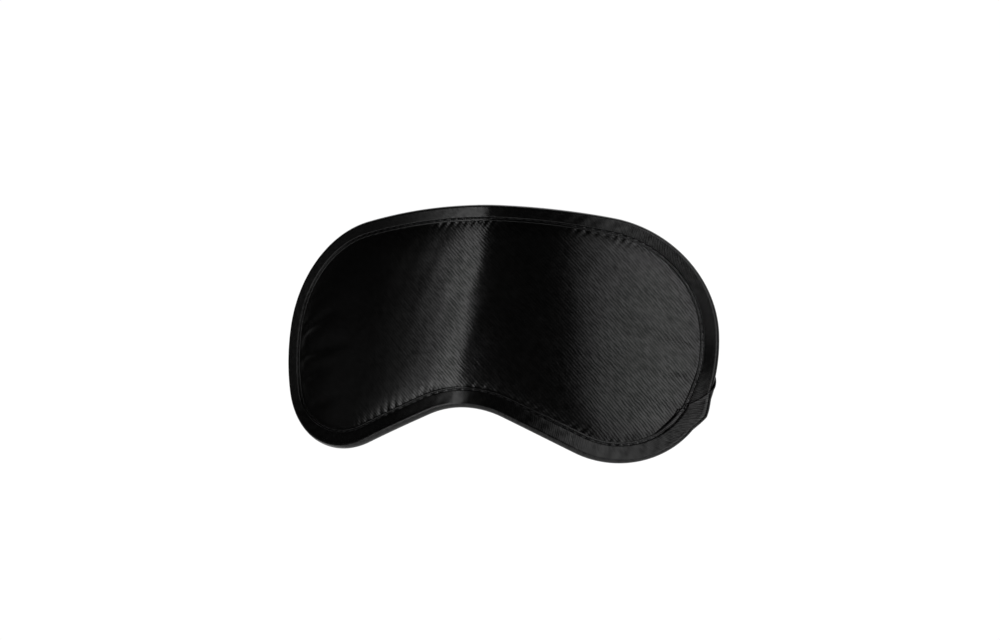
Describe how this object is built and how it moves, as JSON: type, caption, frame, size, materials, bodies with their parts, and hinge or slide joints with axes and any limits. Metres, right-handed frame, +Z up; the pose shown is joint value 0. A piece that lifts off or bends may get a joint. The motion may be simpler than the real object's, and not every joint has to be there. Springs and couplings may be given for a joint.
{
  "type": "sleep eye mask",
  "caption": "Contoured satin sleep mask with a padded bent body, bound edge, nose arch and elastic head strap.",
  "frame": {"origin": "on the fold line of the nose bridge, on the rearmost face of the mask, where it rests on the face", "axes": "+Z up as worn, the front face looks along -Y, the wearer's face is on the +Y side, +X to the viewer's right"},
  "size_m": [0.1832, 0.063, 0.0973],
  "materials": {
    "satin": "black polyester satin, soft sheen",
    "binding_satin": "black satin bias tape, soft sheen",
    "lining": "matt black woven lining",
    "foam": "dark grey polyester wadding, matt",
    "thread": "black polyester sewing thread",
    "elastic": "black woven elastic, ribbed, matt"
  },
  "bodies": {
    "left_half": {"front_panel_left": "satin", "foam_pad_left": "foam", "lining_left": "lining", "binding_left": "binding_satin", "seam_thread_left": "thread", "strap_end_left": "elastic", "strap_tack_left": "thread"},
    "right_half": {"front_panel_right": "satin", "foam_pad_right": "foam", "lining_right": "lining", "binding_right": "binding_satin", "seam_thread_right": "thread", "strap_end_right": "elastic", "strap_tack_right": "thread", "binding_lap": "binding_satin"},
    "strap_left": {"elastic_strap_left": "elastic"},
    "strap_right": {"elastic_strap_right": "elastic"}
  },
  "joints": [
    {"name": "bridge_fold", "type": "hinge", "parent": "left_half", "child": "right_half", "pos_m": [0, 0, 0], "axis": [0, 0, 1], "range_deg": [-25, 90], "stiffness_Nm_per_rad": 0.02},
    {"name": "strap_left_swing", "type": "hinge", "parent": "left_half", "child": "strap_left", "pos_m": [-0.08415, 0.02801, 0], "axis": [0, 0, 1], "range_deg": [-25, 90]},
    {"name": "strap_right_swing", "type": "hinge", "parent": "right_half", "child": "strap_right", "pos_m": [0.08415, 0.02801, 0], "axis": [0, 0, 1], "range_deg": [-90, 25]}
  ],
  "couplings": [
    {"joint": "strap_left_swing", "follows": "bridge_fold", "ratio": 1},
    {"joint": "strap_right_swing", "follows": "bridge_fold", "ratio": -1}
  ]
}
